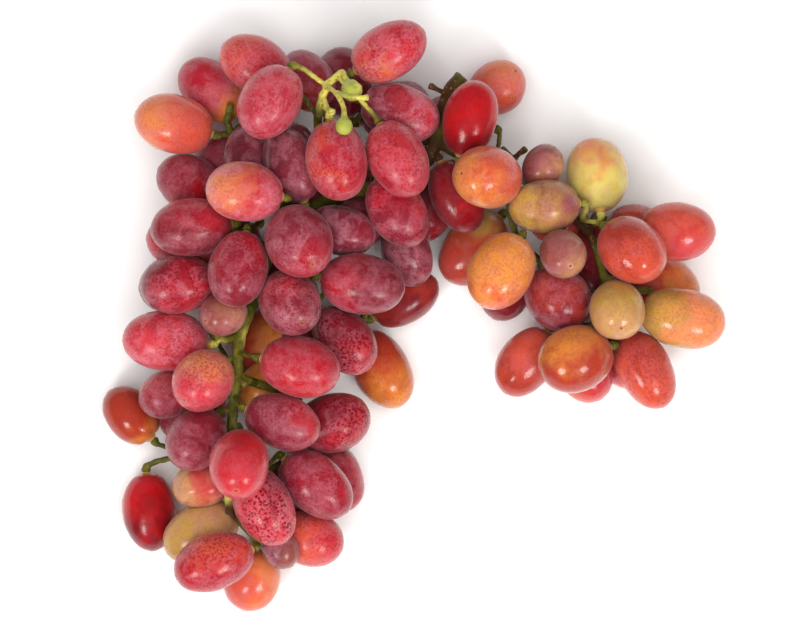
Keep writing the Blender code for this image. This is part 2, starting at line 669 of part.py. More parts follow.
def squeezed(route, radii, room, own=-1):
    """The same radii, smaller where berries leave less room beside the route."""
    radii = np.array(radii, dtype=float)
    for k in range(len(route) - 1):
        left = room.clearance(route[k], route[k + 1], own) - GAP / 2
        radii[k:k + 2] = np.minimum(radii[k:k + 2], max(left, THINNEST))
    return radii


# ---------------------------------------------------------------- the solids


def new_material(name, colour, roughness):
    """A Principled BSDF with one colour and roughness."""
    material = bpy.data.materials.new(name)
    material.use_nodes = True
    shader = material.node_tree.nodes["Principled BSDF"]
    shader.inputs["Base Color"].default_value = (*colour, 1)
    shader.inputs["Roughness"].default_value = roughness
    shader.inputs["Metallic"].default_value = 0
    material.diffuse_color = (*colour, 1)
    return material


def new_object(name, mesh, material, parent):
    """A named object that shows a mesh in its own material."""
    mesh.materials.append(material)
    thing = bpy.data.objects.new(name, mesh)
    thing.parent = parent
    bpy.context.scene.collection.objects.link(thing)
    return thing


def add_berry(bm, middle, axis, half, girth):
    """One berry: a sphere stretched along its axis, turned so that a vertex of its girth points down."""
    made = bmesh.ops.create_uvsphere(bm, u_segments=BERRY_SEGMENTS, v_segments=BERRY_RINGS, radius=1)
    along = Vector(axis).normalized()
    down = Vector((0, 0, -1))
    side = down - along * down.dot(along)
    side.normalize()
    turn = Matrix((side, along.cross(side), along)).transposed().to_4x4()
    stretch = Matrix.Diagonal((girth * MM, girth * MM, half * MM, 1))
    place = Matrix.Translation(Vector(middle) * MM)
    bmesh.ops.transform(bm, matrix=place @ turn @ stretch, verts=made["verts"])


def add_tube(bm, route, radii, sides):
    """A closed round tube along a route, with a radius at each of its points."""
    ahead = unit(route[1] - route[0])
    side = unit(np.cross(ahead, [0.31, 0.52, 0.8]))
    rings = []
    for k, (spot, radius) in enumerate(zip(route, radii)):
        before = route[max(k - 1, 0)]
        after = route[min(k + 1, len(route) - 1)]
        ahead = unit(after - before)
        side = unit(side - ahead * side.dot(ahead))
        up = np.cross(ahead, side)
        ring = []
        for n in range(sides):
            angle = 2 * math.pi * n / sides
            corner = spot + radius * (math.cos(angle) * side + math.sin(angle) * up)
            ring.append(bm.verts.new(Vector(corner) * MM))
        rings.append(ring)
    for lower, upper in zip(rings, rings[1:]):
        for n in range(sides):
            m = (n + 1) % sides
            bm.faces.new((lower[n], lower[m], upper[m], upper[n]))
    bm.faces.new(list(reversed(rings[0])))
    bm.faces.new(rings[-1])


def finish_mesh(name, bm):
    """Turn a bmesh into a mesh whose faces all look outward."""
    bmesh.ops.recalc_face_normals(bm, faces=bm.faces)
    mesh = bpy.data.meshes.new(name)
    bm.to_mesh(mesh)
    bm.free()
    mesh.shade_smooth()
    return mesh


def unite(target, helper, solver):
    """Make two solids one; the helper stays out of the picture, as a guide."""
    helper.hide_render = True
    helper.display_type = "WIRE"
    union = target.modifiers.new("union", "BOOLEAN")
    union.operation = "UNION"
    union.solver = solver
    union.object = helper
    return union


def build_berries(bunch, parent):
    """One object for each single berry and one for each cluster of berries that press together."""
    for name in dict.fromkeys(bunch.names):
        members = [k for k in range(bunch.count) if bunch.names[k] == name]
        colour, roughness = TONES[bunch.tones[members[0]]]
        material = new_material(f"skin_{name}", colour, roughness)
        bodies = []
        for number, k in enumerate(members):
            bm = bmesh.new()
            add_berry(bm, bunch.middle[k], bunch.axis[k], bunch.half[k], bunch.girth[k])
            label = name if number == 0 else f"guide_{name}_{number}"
            bodies.append(new_object(label, finish_mesh(label, bm), material, parent))
        for helper in bodies[1:]:
            unite(bodies[0], helper, "EXACT")


def tube(route, radii, sides):
    """One closed tube as a bmesh of its own."""
    bm = bmesh.new()
    add_tube(bm, route, radii, sides)
    return bm


def shot_berry(middle, axis, half, girth):
    """A shrivelled berry as a bmesh of its own."""
    bm = bmesh.new()
    add_berry(bm, middle, axis, half, girth)
    return bm


def collar(stalk, route, room):
    """The swollen end of a stalk, that its berry sits on."""
    along, size = np.transpose(COLLAR_SHAPE)
    spots = route[0] + along[:, None] * (route[1] - route[0])
    return tube(spots, squeezed(spots, COLLAR_RADIUS * size, room, stalk["berry"]), STALK_SIDES)


def stalk_tube(stalk, route, room):
    """A stalk, from inside its collar to the middle of what it grows from."""
    inside = route[0] + STALK_INSIDE * (route[1] - route[0])
    spots = np.concatenate([[inside], route[2:]])
    radii = np.full(len(spots), stalk_radius(stalk["load"]))
    return tube(spots, squeezed(spots, radii, room), STALK_SIDES)


def clear_crumbs(mesh):
    """Clear loose splinters and closed hollows in the wood that are smaller than CRUMB."""
    bm = bmesh.new()
    bm.from_mesh(mesh)
    unseen = set(bm.faces)
    crumbs = []
    while unseen:
        shell = [unseen.pop()]
        for face in shell:
            for edge in face.edges:
                for near in edge.link_faces:
                    if near in unseen:
                        unseen.remove(near)
                        shell.append(near)
        middle = shell[0].verts[0].co
        volume = sum((face.calc_center_median() - middle).dot(face.normal) * face.calc_area() for face in shell) / 3
        if abs(volume) < CRUMB * MM ** 3:
            crumbs += shell
    bmesh.ops.delete(bm, geom=crumbs, context="FACES")
    bm.to_mesh(mesh)
    bm.free()


def build_stem(routes, twigs, stalks, room, parent):
    """The whole stem, grown piece by piece into one solid: branches, twigs, then stalks with their collars."""
    pieces = [tube(route, radii, STEM_SIDES) for route, radii in routes]
    pieces += [tube(route, radii, STALK_SIDES) for route, radii in twigs]
    pieces += [shot_berry(*berry) for berry in shot_berries(twigs)]
    for stalk, route in zip(stalks, thin_out(stalks, room)):
        pieces += [stalk_tube(stalk, route, room), collar(stalk, route, room)]
    material = new_material("stem_skin", *STEM_SKIN)
    stem = new_object("stem", finish_mesh("stem", pieces[0]), material, parent)
    for piece in pieces[1:]:
        helper = new_object("guide", finish_mesh("guide", piece), material, parent)
        union = unite(stem, helper, "MANIFOLD")
        bpy.context.view_layer.update()
        shaped = stem.evaluated_get(bpy.context.evaluated_depsgraph_get())
        stem.data = bpy.data.meshes.new_from_object(shaped)
        stem.modifiers.remove(union)
        bpy.data.objects.remove(helper, do_unlink=True)
    stem.data.name = "stem"
    clear_crumbs(stem.data)
    print(f"stem: {len(pieces)} pieces united, {len(stem.data.polygons)} faces")


def centre_on_origin(parent):
    """Shift the whole bunch so that the middle of its box lies over the origin, its lowest point at Z = 0."""
    bpy.context.view_layer.update()
    shown = [thing for thing in parent.children if not thing.hide_render]
    corners = [thing.matrix_world @ vertex.co for thing in shown for vertex in thing.data.vertices]
    low = [min(corner[k] for corner in corners) for k in range(3)]
    high = [max(corner[k] for corner in corners) for k in range(3)]
    parent.location = (-(low[0] + high[0]) / 2, -(low[1] + high[1]) / 2, -low[2])


def main():
    """Build the bunch."""
    for thing in list(bpy.data.objects):
        bpy.data.objects.remove(thing, do_unlink=True)
    parent = bpy.data.objects.new("bunch", None)
    bpy.context.scene.collection.objects.link(parent)
    bunch = Bunch()
    routes = branch_routes()
    twigs = twig_routes()
    settle(bunch, *beads_of(routes, twigs))
    stalks, room = grow_stalks(bunch, routes)
    build_berries(bunch, parent)
    build_stem(routes, twigs, stalks, room, parent)
    centre_on_origin(parent)


main()
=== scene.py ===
# %% [markdown]
# # A bunch of red table grapes
#
# A bunch is one branching stem with a berry on the end of every stalk. What makes it look real is variety:
# each berry has its own ripeness, its own bloom (the pale wax that a finger rubs off) and its own freckles.
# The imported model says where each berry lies. This script reads those places and gives every berry and the
# stem their true surface.

import math
import random

import bmesh
import bpy
import numpy as np
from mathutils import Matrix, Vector, kdtree, noise


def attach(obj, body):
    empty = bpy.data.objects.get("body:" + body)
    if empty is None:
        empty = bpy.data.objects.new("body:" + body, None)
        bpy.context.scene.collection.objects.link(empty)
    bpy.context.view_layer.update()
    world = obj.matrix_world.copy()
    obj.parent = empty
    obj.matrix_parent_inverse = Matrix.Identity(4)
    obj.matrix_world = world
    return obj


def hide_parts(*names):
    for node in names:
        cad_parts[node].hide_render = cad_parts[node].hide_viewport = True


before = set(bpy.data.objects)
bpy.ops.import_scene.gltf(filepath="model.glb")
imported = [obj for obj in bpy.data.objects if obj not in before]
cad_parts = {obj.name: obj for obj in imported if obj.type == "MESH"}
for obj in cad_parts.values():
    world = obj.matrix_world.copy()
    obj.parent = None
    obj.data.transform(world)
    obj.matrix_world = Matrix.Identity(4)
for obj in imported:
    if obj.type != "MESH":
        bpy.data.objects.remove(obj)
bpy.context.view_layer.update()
MM = 0.001
print("pieces in the frame:", len(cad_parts))

# %% [markdown]
# ## Finding the berries
#
# In the frame a berry is a coarse egg with flat facets, and in the lower layers several are joined into one
# solid. Two rounded bodies that are joined meet in a crease, so walking over the faces without stepping over a
# crease finds one berry at a time. Its corners lie on a stretched sphere, and the nine numbers of a stretched
# sphere come from a least-squares fit to those corners.

# %% Split a solid at its creases
CREASE = -0.05  # an edge that bends inwards by more than this, in radians, is a crease
SAME_CORNER = 1e-6  # corners closer than this are one corner, m
FEWEST = 14  # a body with no more corners than this is a scrap of a crease, not a berry


def bodies_of(mesh):
    """The corners of each rounded body in a mesh, without those that lie on a crease."""
    bm = bmesh.new()
    bm.from_mesh(mesh)
    bmesh.ops.remove_doubles(bm, verts=bm.verts, dist=SAME_CORNER)
    creased = {edge for edge in bm.edges if edge.calc_face_angle_signed(0) < CREASE}
    on_crease = {corner for edge in creased for corner in edge.verts}
    left = set(bm.faces)
    bodies = []
    while left:
        body = set()
        front = {left.pop()}
        while front:
            body |= front
            edges = {edge for face in front for edge in face.edges} - creased
            front = {face for edge in edges for face in edge.link_faces} - body
        left -= body
        corners = {corner for face in body for corner in face.verts} - on_crease
        if len(corners) > FEWEST:
            bodies.append(np.array([corner.co for corner in corners]))
    bm.free()
    return bodies


# %% Fit a stretched sphere to corners
def fit_berry(corners):
    """Middle, long direction, half length and half width of the berry whose skin holds these corners."""
    centre = corners.mean(axis=0)
    size = np.abs(corners - centre).max()
    x, y, z = ((corners - centre) / size).T
    terms = np.stack([x * x, y * y, z * z, 2 * x * y, 2 * x * z, 2 * y * z, 2 * x, 2 * y, 2 * z], axis=1)
    q = np.linalg.lstsq(terms, np.ones(len(x)), rcond=None)[0]
    form = np.array([[q[0], q[3], q[4]], [q[3], q[1], q[5]], [q[4], q[5], q[2]]])
    middle = -np.linalg.solve(form, q[6:9])
    values, directions = np.linalg.eigh(form / (1 + middle @ form @ middle))
    halves = size / np.sqrt(values)
    return centre + size * middle, directions[:, 0], halves[0], (halves[1] + halves[2]) / 2


stem_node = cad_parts["stem"]
stem_tree = kdtree.KDTree(len(stem_node.data.vertices))
for corner in stem_node.data.vertices:
    stem_tree.insert(corner.co, corner.index)
stem_tree.balance()

berries = []
for name in sorted(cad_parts):
    if name == "stem":
        continue
    found = [fit_berry(corners) for corners in bodies_of(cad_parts[name].data)]
    for number, (middle, axis, half, girth) in enumerate(sorted(found, key=lambda fit: -fit[0][1])):
        ends = [stem_tree.find(middle + side * axis * half)[2] for side in (-1, 1)]
        axis = axis if ends[0] < ends[1] else -axis
        berries.append({"node": name, "number": number, "middle": middle, "axis": axis,
                        "half": half, "girth": girth, "stalk_gap": min(ends)})
print(len(berries), "berries; widest gap to a stalk:", f"{max(b['stalk_gap'] for b in berries) / MM:.2f} mm")

# %% [markdown]
# ## The colours of the skins
#
# No two berries ripen alike. Each has a ground colour, a second colour that lies towards one side, and its own
# amount of bloom and freckles. A list in plain words sets them: heading is the side where the second colour
# lies, seen from above, and share is how much of the berry it takes.

# %% Name the tones
TONES = {
    "plum": (120, 16, 34), "dusk": (84, 18, 30), "wine": (104, 6, 20), "crimson": (164, 16, 32),
    "rose": (186, 42, 50), "red": (176, 8, 14), "burgundy": (112, 4, 12), "brick": (158, 48, 26),
    "coral": (200, 76, 50), "peach": (214, 126, 74), "amber": (210, 130, 52), "tan": (190, 142, 92),
    "olive": (176, 140, 56), "lime": (208, 194, 98), "mauve": (128, 66, 54),
}
PLAIN = (0, 0.3, 0.5, 0.5)  # heading, share, bloom and freckles where nothing else is said


def linear(tone):
    """A tone out of 255 as light adds up, which is how shaders count."""
    shares = [value / 255 for value in tone]
    return [v / 12.92 if v < 0.04045 else ((v + 0.055) / 1.055) ** 2.4 for v in shares]


# Ground tone, second tone, heading of the second tone, its share, bloom, freckles.
LOOKS = {
    "crown_grape": [
        ("rose", "coral", 150, 0.25, 0.55, 0.6), ("crimson", "amber", -45, 0.12, 0.65, 0.3),
        ("coral", "peach", 150, 0.34, 0.35, 0.25), ("crimson", "rose", 90, 0.40, 0.75, 0.6),
        ("rose", "peach", 170, 0.24, 1.00, 0.4), ("dusk", "plum", 0, 0.30, 0.60, 0.6),
        ("rose", "peach", 215, 0.16, 0.75, 0.7), ("plum", "rose", 0, 0.30, 1.00, 0.7),
        ("rose", "crimson", -90, 0.30, 0.60, 0.7), ("crimson", "coral", 180, 0.22, 0.60, 0.7),
        ("crimson", "plum", -90, 0.40, 0.60, 0.8),
    ],
    "middle_grape": [
        ("wine", "crimson", 90, 0.40, 0.55, 0.6), ("plum", "crimson", -80, 0.25, 0.75, 0.8),
        ("plum", "crimson", 90, 0.30, 0.60, 1.0), ("crimson", "wine", 180, 0.30, 0.60, 1.0),
        ("wine", "rose", 90, 0.30, 0.75, 1.0), ("mauve", "tan", 0, 0.10, 0.60, 0.3),
        ("rose", "crimson", 0, 0.25, 0.85, 0.6), ("rose", "peach", 80, 0.35, 0.50, 0.6),
        ("brick", "amber", -45, 0.22, 0.05, 0.2), ("wine", "crimson", 180, 0.35, 0.60, 0.5),
        ("wine", "rose", -60, 0.20, 0.60, 1.3), ("brick", "amber", -62, 0.40, 0.05, 0.3),
        ("crimson", "red", -90, 0.45, 0.50, 0.5),
    ],
    "tail_grape": [
        ("plum", "rose", 30, 0.15, 0.60, 0.7), ("wine", "rose", 0, 0.25, 0.45, 1.3),
        ("plum", "wine", 200, 0.30, 0.65, 0.6), ("red", "rose", -90, 0.40, 0.30, 0.3),
        ("plum", "crimson", 45, 0.35, 0.55, 0.8), ("rose", "plum", 90, 0.40, 0.65, 1.3),
        ("coral", "peach", 0, 0.30, 0.30, 0.1), ("crimson", "coral", 90, 0.25, 0.55, 0.8),
        ("red", "burgundy", -90, 0.30, 0.10, 0.2),
    ],
    "wing_grape": [
        ("red", "burgundy", -90, 0.30, 0.05, 0.3), ("burgundy", "red", 0, 0.20, 0.15, 0.1),
        ("amber", "coral", 40, 0.50, 0.25, 0.3), ("lime", "peach", 90, 0.26, 0.35, 0.0),
        ("amber", "coral", -80, 0.10, 0.30, 0.3), ("mauve", "tan", 0, 0.30, 0.40, 0.2),
        ("wine", "brick", 90, 0.45, 0.45, 0.6), ("coral", "brick", -90, 0.30, 0.30, 0.2),
        ("brick", "amber", 100, 0.45, 0.12, 0.3), ("olive", "tan", -90, 0.30, 0.25, 0.2),
        ("coral", "brick", 120, 0.35, 0.25, 0.4), ("coral", "rose", -90, 0.30, 0.35, 0.2),
        ("peach", "olive", 180, 0.40, 0.25, 0.3), ("coral", "brick", 90, 0.40, 0.25, 0.5),
    ],
    "crown_back_under_grapes": [
        ("plum", "brick", -90, 0.35, 0.65, 0.5), ("wine", "plum"), ("coral", "peach", 60, 0.20, 0.60, 0.2),
        ("plum", "wine"), ("burgundy", "wine"),
    ],
    "crown_front_under_grapes": [
        ("wine", "plum"), ("crimson", "wine"), ("plum", "wine"), ("dusk", "plum", 0, 0.30, 0.90, 0.6),
    ],
    "crown_left_under_grapes": [
        ("wine", "crimson"), ("plum", "wine"), ("plum", "red", -60, 0.40, 0.60, 0.6),
    ],
    "crown_middle_under_grapes": [("dusk", "plum", 0, 0.30, 0.80, 0.4), ("plum", "dusk")],
    "middle_centre_under_grapes": [
        ("wine", "plum"), ("brick", "amber", 0, 0.40, 0.10, 0.2), ("wine", "crimson"),
        ("amber", "brick", 0, 0.40, 0.10, 0.2),
    ],
    "middle_left_under_grapes": [("crimson", "coral"), ("plum", "wine"), ("wine", "burgundy")],
    "middle_right_under_grapes": [
        ("burgundy", "red", 0, 0.20, 0.30, 0.2), ("dusk", "plum", 0, 0.30, 0.85, 0.6),
        ("brick", "wine", -60, 0.40, 0.10, 0.2),
    ],
    "tail_left_under_grapes": [
        ("plum", "brick", 90, 0.40, 0.60, 0.5), ("wine", "crimson"), ("dusk", "mauve", 0, 0.40, 0.80, 0.3),
        ("tan", "rose", 20, 0.40, 0.30, 0.3), ("olive", "tan", 0, 0.40, 0.45, 0.2),
    ],
    "tail_right_under_grapes": [
        ("wine", "crimson"), ("plum", "wine"), ("coral", "rose", 0, 0.40, 0.35, 0.6),
        ("dusk", "mauve", 0, 0.30, 0.80, 0.3),
    ],
    "wing_far_under_grapes": [
        ("coral", "brick"), ("brick", "coral"), ("burgundy", "wine", 0, 0.30, 0.30, 0.2),
        ("coral", "amber", -20, 0.30, 0.30, 0.3), ("burgundy", "brick"), ("rose", "coral", 0, 0.40, 0.30, 0.3),
        ("coral", "rose", 0, 0.40, 0.30, 0.3),
    ],
    "wing_near_under_grapes": [
        ("brick", "olive", 70, 0.35, 0.20, 0.2), ("burgundy", "brick", 0, 0.20, 0.20, 0.2),
        ("burgundy", "wine"),
    ],
    "wing_top_under_grapes": [("mauve", "tan", 0, 0.20, 0.40, 0.3), ("olive", "mauve", 10, 0.45, 0.40, 0.3)],
}


def look_of(berry):
    """The look set for this berry."""
    name = berry["node"]
    if name in LOOKS:
        look = LOOKS[name][berry["number"]]
    else:
        kind, number = name.rsplit("_", 1)
        look = LOOKS[kind][int(number) - 1]
    return look + PLAIN[len(look) - 2:]


print("looks set for", sum(len(rows) for rows in LOOKS.values()), "berries")

# %% [markdown]
# ## The shape of a berry
#
# A table grape is an oval a little fuller than a stretched sphere. It has a shallow dimple round the pad where
# its stalk grows in, a tiny raised ring with a dry scar at the blossom end, and soft swellings all over. Rings
# of corners turned about its long direction give that shape directly, and more rings near the two ends leave
# room for the pad and the scar.

# %% Turn the rings of a berry
RINGS = 44
SIDES = 56
FULLNESS = 0.93  # below one, the ends are blunter than a stretched sphere's
PAD = 1.45  # radius of the pad that meets the stalk, mm
PAD_RISE = 0.32  # how far the pad stands out, mm
DIMPLE = 0.45  # depth of the hollow round the pad, mm
SWELL = 0.28  # height of the soft swellings, mm
CROWD = 0.18  # how strongly the rings crowd towards the two ends
SCAR_RADIUS = 0.85  # radius of the ring round the scar, mm
SCAR_RISE = 0.16  # how far that ring stands out, mm
SCAR_DEPTH = 0.12  # depth of the scar inside it, mm


def bell(distance, width):
    """One at nought, fading away over a width."""
    return np.exp(-(distance / width) ** 2)


def berry_corners(half, girth, seed):
    """Corners of a berry about its middle, in mm, its long direction along Z, the stalk end below."""
    turn = np.linspace(0, math.pi, RINGS + 1)
    turn = turn - CROWD * np.sin(2 * turn)
    luck = random.Random(seed)
    egg = luck.uniform(-0.035, 0.045)
    bent = luck.uniform(0.0, 0.025) * half
    radius = girth * np.sin(turn).clip(1e-9) ** FULLNESS * (1 + egg * np.cos(turn))
    height = -half * np.cos(turn)
    low = height < 0
    pad = PAD_RISE * (1 / (1 + np.exp((radius - PAD) / 0.12)))
    hollow = DIMPLE * bell(radius - PAD - 0.9, 0.9)
    scar = SCAR_RISE * bell(radius - SCAR_RADIUS, 0.3) - SCAR_DEPTH * bell(radius, 0.5)
    height = np.where(low, height - pad + hollow, height + scar)
    around = np.linspace(0, 2 * math.pi, SIDES, endpoint=False)
    x = radius[1:-1, None] * np.cos(around) + bent * (1 - (height[1:-1, None] / half) ** 2)
    y = radius[1:-1, None] * np.sin(around)
    z = np.repeat(height[1:-1, None], SIDES, axis=1)
    rings = np.stack([x, y, z], axis=-1).reshape(-1, 3)
    return np.concatenate([[[0, 0, height[0]]], rings, [[0, 0, height[-1]]]])


def berry_faces():
    """Faces of a berry: a fan at each end and squares between the rings."""
    last = 1 + (RINGS - 1) * SIDES
    faces = []
    for n in range(SIDES):
        m = (n + 1) % SIDES
        faces.append((0, 1 + m, 1 + n))
        faces.append((last, last - SIDES + n, last - SIDES + m))
        for ring in range(RINGS - 2):
            here = 1 + ring * SIDES
            faces.append((here + n, here + m, here + SIDES + m, here + SIDES + n))
    return faces


FACES = berry_faces()
print("corners in one berry:", 2 + (RINGS - 1) * SIDES)

# %% [markdown]
# ## Placing the berries, and pressing them together
#
# Where two soft berries touch, each goes a little flat. So after every berry stands in its place, a corner
# that ended up inside a neighbour is drawn back towards its own middle until the two meet half way.

# %% Give each berry its place and swellings
def frame_of(axis):
    """Three directions at right angles, the last along the berry."""
    side = np.cross(axis, [0.3, 0.2, 0.93])
    side /= np.linalg.norm(side)
    return np.stack([side, np.cross(axis, side), axis])


def swelling(place, seed):
    """Height of the soft swellings at a place on a berry, in mm."""
    spot = Vector(place) * 0.11 + Vector((seed * 7.3, seed * 3.1, 0))
    return SWELL * noise.noise(spot) + 0.3 * SWELL * noise.noise(spot * 2.7)


for seed, berry in enumerate(berries):
    local = berry_corners(berry["half"] / MM, berry["girth"] / MM, seed)
    outward = local / np.linalg.norm(local, axis=1, keepdims=True)
    calm = np.clip((np.abs(local[:, 2]) / (berry["half"] / MM) - 0.8) / 0.2, 0, 1)
    lumps = np.array([swelling(place, seed) for place in local])
    local += outward * (lumps * (1 - calm))[:, None]
    berry["local"] = local
    berry["turn"] = frame_of(berry["axis"])
    berry["corners"] = berry["middle"] + local @ berry["turn"] * MM


# %% Press neighbours flat against each other
def inside(berry, spots):
    """How deep spots lie in a berry: one on its skin, nought at its middle."""
    local = (spots - berry["middle"]) @ berry["turn"].T
    return np.linalg.norm(local / [berry["girth"], berry["girth"], berry["half"]], axis=1)


EASE = 0.06 * MM  # what stays between two pressed skins
CONTACT = 1.01  # a corner nearer than this to a neighbour's middle, where its skin is at one, is pressed
LOWEST = 0.02 * MM  # nothing of a berry lies lower than this
pressed = 0
moves = [np.zeros_like(berry["corners"]) for berry in berries]
for a, berry in enumerate(berries):
    for other in berries:
        reach = berry["half"] + other["half"]
        if other is berry or np.linalg.norm(other["middle"] - berry["middle"]) > reach:
            continue
        depth = inside(other, berry["corners"])
        hit = depth < CONTACT
        if not hit.any():
            continue
        pressed += 1
        sunk = (CONTACT - depth[hit]) * other["girth"] * 0.5 + EASE
        inward = berry["middle"] - berry["corners"][hit]
        inward /= np.linalg.norm(inward, axis=1, keepdims=True)
        moves[a][hit] += inward * sunk[:, None]
for berry, move in zip(berries, moves):
    berry["corners"] += move
    berry["corners"][:, 2] = np.maximum(berry["corners"][:, 2], LOWEST)
print("places where a berry is pressed by another:", pressed)


# %% Build the meshes, one piece for each node of the frame
def give(mesh, name, kind, values):
    """Store a value for each corner, for the skin to read."""
    layer = mesh.attributes.new(name, kind, "POINT")
    field = "value" if kind == "FLOAT" else "color" if kind == "FLOAT_COLOR" else "vector"
    layer.data.foreach_set(field, np.ascontiguousarray(values, dtype=np.float32).ravel())


def skin_values(berry, seed):
    """What the skin needs to know at each corner of a berry."""
    ground, second, heading, share, bloom, freckles = look_of(berry)
    luck = random.Random(100 + seed)
    count = len(berry["local"])
    shade = luck.uniform(0.92, 1.08)
    toward = np.array([math.cos(math.radians(heading)), math.sin(math.radians(heading)), 0.25])
    outward = berry["corners"] - berry["middle"]
    outward /= np.linalg.norm(outward, axis=1, keepdims=True)
    ends = [np.linalg.norm(berry["local"] - berry["local"][end], axis=1) for end in (0, -1)]
    one = np.ones(count)
    return {
        "ground": ("FLOAT_COLOR", np.outer(one, [c * shade for c in linear(TONES[ground])] + [1])),
        "second": ("FLOAT_COLOR", np.outer(one, linear(TONES[second]) + [1])),
        "skin_place": ("FLOAT_VECTOR", berry["local"] + np.array([seed * 37.1, seed * 11.3, seed * 23.7])),
        "side": ("FLOAT", outward @ (toward / np.linalg.norm(toward)) * 0.5 + share),
        "bloom": ("FLOAT", one * bloom),
        "freckles": ("FLOAT", one * freckles),
        "from_stalk": ("FLOAT", ends[0]),
        "from_scar": ("FLOAT", ends[1]),
    }


pieces = {}
for seed, berry in enumerate(berries):
    berry["values"] = skin_values(berry, seed)
for name in dict.fromkeys(berry["node"] for berry in berries):
    members = [berry for berry in berries if berry["node"] == name]
    corners = np.concatenate([berry["corners"] for berry in members])
    size = len(members[0]["corners"])
    faces = [[corner + size * k for corner in face] for k in range(len(members)) for face in FACES]
    mesh = bpy.data.meshes.new(name + "_skin")
    mesh.from_pydata(corners.tolist(), [], faces)
    mesh.shade_smooth()
    for label, (kind, _) in members[0]["values"].items():
        give(mesh, label, kind, np.concatenate([berry["values"][label][1] for berry in members]))
    piece = bpy.data.objects.new("fine_" + name, mesh)
    bpy.context.scene.collection.objects.link(piece)
    pieces[name] = piece
print(len(pieces), "berry pieces,", sum(len(p.data.polygons) for p in pieces.values()), "faces")

# %% [markdown]
# ## The skin
#
# The skin is thin and lets light in, so red flesh glows through it. Over it lies the bloom, a matt wax that
# makes the colour paler and the highlight dull, and that is rubbed off in places, where the skin shines.
# Small dark freckles show best through the bloom. Three sizes of noise, all in millimetres on the berry
# itself, make the second colour, the bloom and its rubbed patches, and a cell pattern makes the freckles.

# %% A few helpers for shader nodes
class Shader:
    """Adds nodes to a material and joins them in one call."""

    def __init__(self, name):
        self.material = bpy.data.materials.new(name)
        self.material.use_nodes = True
        self.tree = self.material.node_tree
        self.surface = self.tree.nodes["Principled BSDF"]

    def feed(self, socket, value):
        """Join an output to a socket, or set the socket to a number or colour."""
        if isinstance(value, bpy.types.NodeSocket):
            self.tree.links.new(value, socket)
        else:
            socket.default_value = value

    def value(self, name, kind="Fac"):
        """A value stored at the corners."""
        node = self.tree.nodes.new("ShaderNodeAttribute")
        node.attribute_name = name
        return node.outputs[kind]

    def sum(self, how, a, b=0.0, clamp=False):
        """One step of arithmetic."""
        node = self.tree.nodes.new("ShaderNodeMath")
        node.operation = how
        node.use_clamp = clamp
        self.feed(node.inputs[0], a)
        self.feed(node.inputs[1], b)
        return node.outputs[0]

    def ramp(self, value, low, high, start=0.0, end=1.0):
        """Nought to one as a value goes from low to high, with soft ends."""
        node = self.tree.nodes.new("ShaderNodeMapRange")
        node.interpolation_type = "SMOOTHSTEP"
        self.feed(node.inputs["Value"], value)
        node.inputs["From Min"].default_value = low
        node.inputs["From Max"].default_value = high
        node.inputs["To Min"].default_value = start
        node.inputs["To Max"].default_value = end
        return node.outputs["Result"]

    def mix(self, share, a, b, how="MIX"):
        """Mix two colours."""
        node = self.tree.nodes.new("ShaderNodeMix")
        node.data_type = "RGBA"
        node.blend_type = how
        self.feed(node.inputs["Factor"], share)
        self.feed(node.inputs[6], a)
        self.feed(node.inputs[7], b)
        return node.outputs[2]

    def grain(self, place, size, detail=2.0, rough=0.5, warp=0.0):
        """Soft noise whose lumps are about as wide as size, in mm."""
        node = self.tree.nodes.new("ShaderNodeTexNoise")
        self.feed(node.inputs["Vector"], place)
        node.inputs["Scale"].default_value = 1 / size
        node.inputs["Detail"].default_value = detail
        node.inputs["Roughness"].default_value = rough
        node.inputs["Distortion"].default_value = warp
        return node.outputs["Fac"]

    def cells(self, place, size, spread=1.0):
        """Distance to the nearest of many scattered points, about size apart, in mm."""
        node = self.tree.nodes.new("ShaderNodeTexVoronoi")
        self.feed(node.inputs["Vector"], place)
        node.inputs["Scale"].default_value = 1 / size
        node.inputs["Randomness"].default_value = spread
        return node.outputs["Distance"]

    def bump(self, height, distance, under=None, strength=1.0):
        """Tilt the surface as if it rose by height times distance, in metres."""
        node = self.tree.nodes.new("ShaderNodeBump")
        node.inputs["Strength"].default_value = strength
        node.inputs["Distance"].default_value = distance
        self.feed(node.inputs["Height"], height)
        if under is not None:
            self.feed(node.inputs["Normal"], under)
        return node.outputs["Normal"]


def colour(red, green, blue):
    """A colour given as it looks, out of 255, made linear."""
    return (*linear((red, green, blue)), 1)


# %% Mix the skin
BLOOM_COLOUR = colour(214, 134, 150)
FRECKLE_COLOUR = colour(118, 6, 26)
SCAR_COLOUR = colour(70, 40, 24)
PAD_COLOUR = colour(206, 168, 92)
SHOULDER_COLOUR = colour(206, 142, 74)  # the paler skin near the stalk
RING_COLOUR = colour(196, 132, 84)  # the paler skin round the scar
CLOUD_SHADE = (0.62, 0.5, 0.55, 1)  # what a darker cloud multiplies the skin by
WAX_COVER = 0.6  # how much of the colour the thickest bloom covers
FRECKLE_COVER = 0.78  # how much of the colour a strong freckle covers
WAX_DULLS = 0.36  # how much roughness the bloom adds
RIPPLE = 0.00022  # height of the ripples in the skin, m
PORE = 0.00003  # height of the pores and depth of the freckles, m
FLESH_REACH = 0.0035  # how far light spreads in the flesh, m


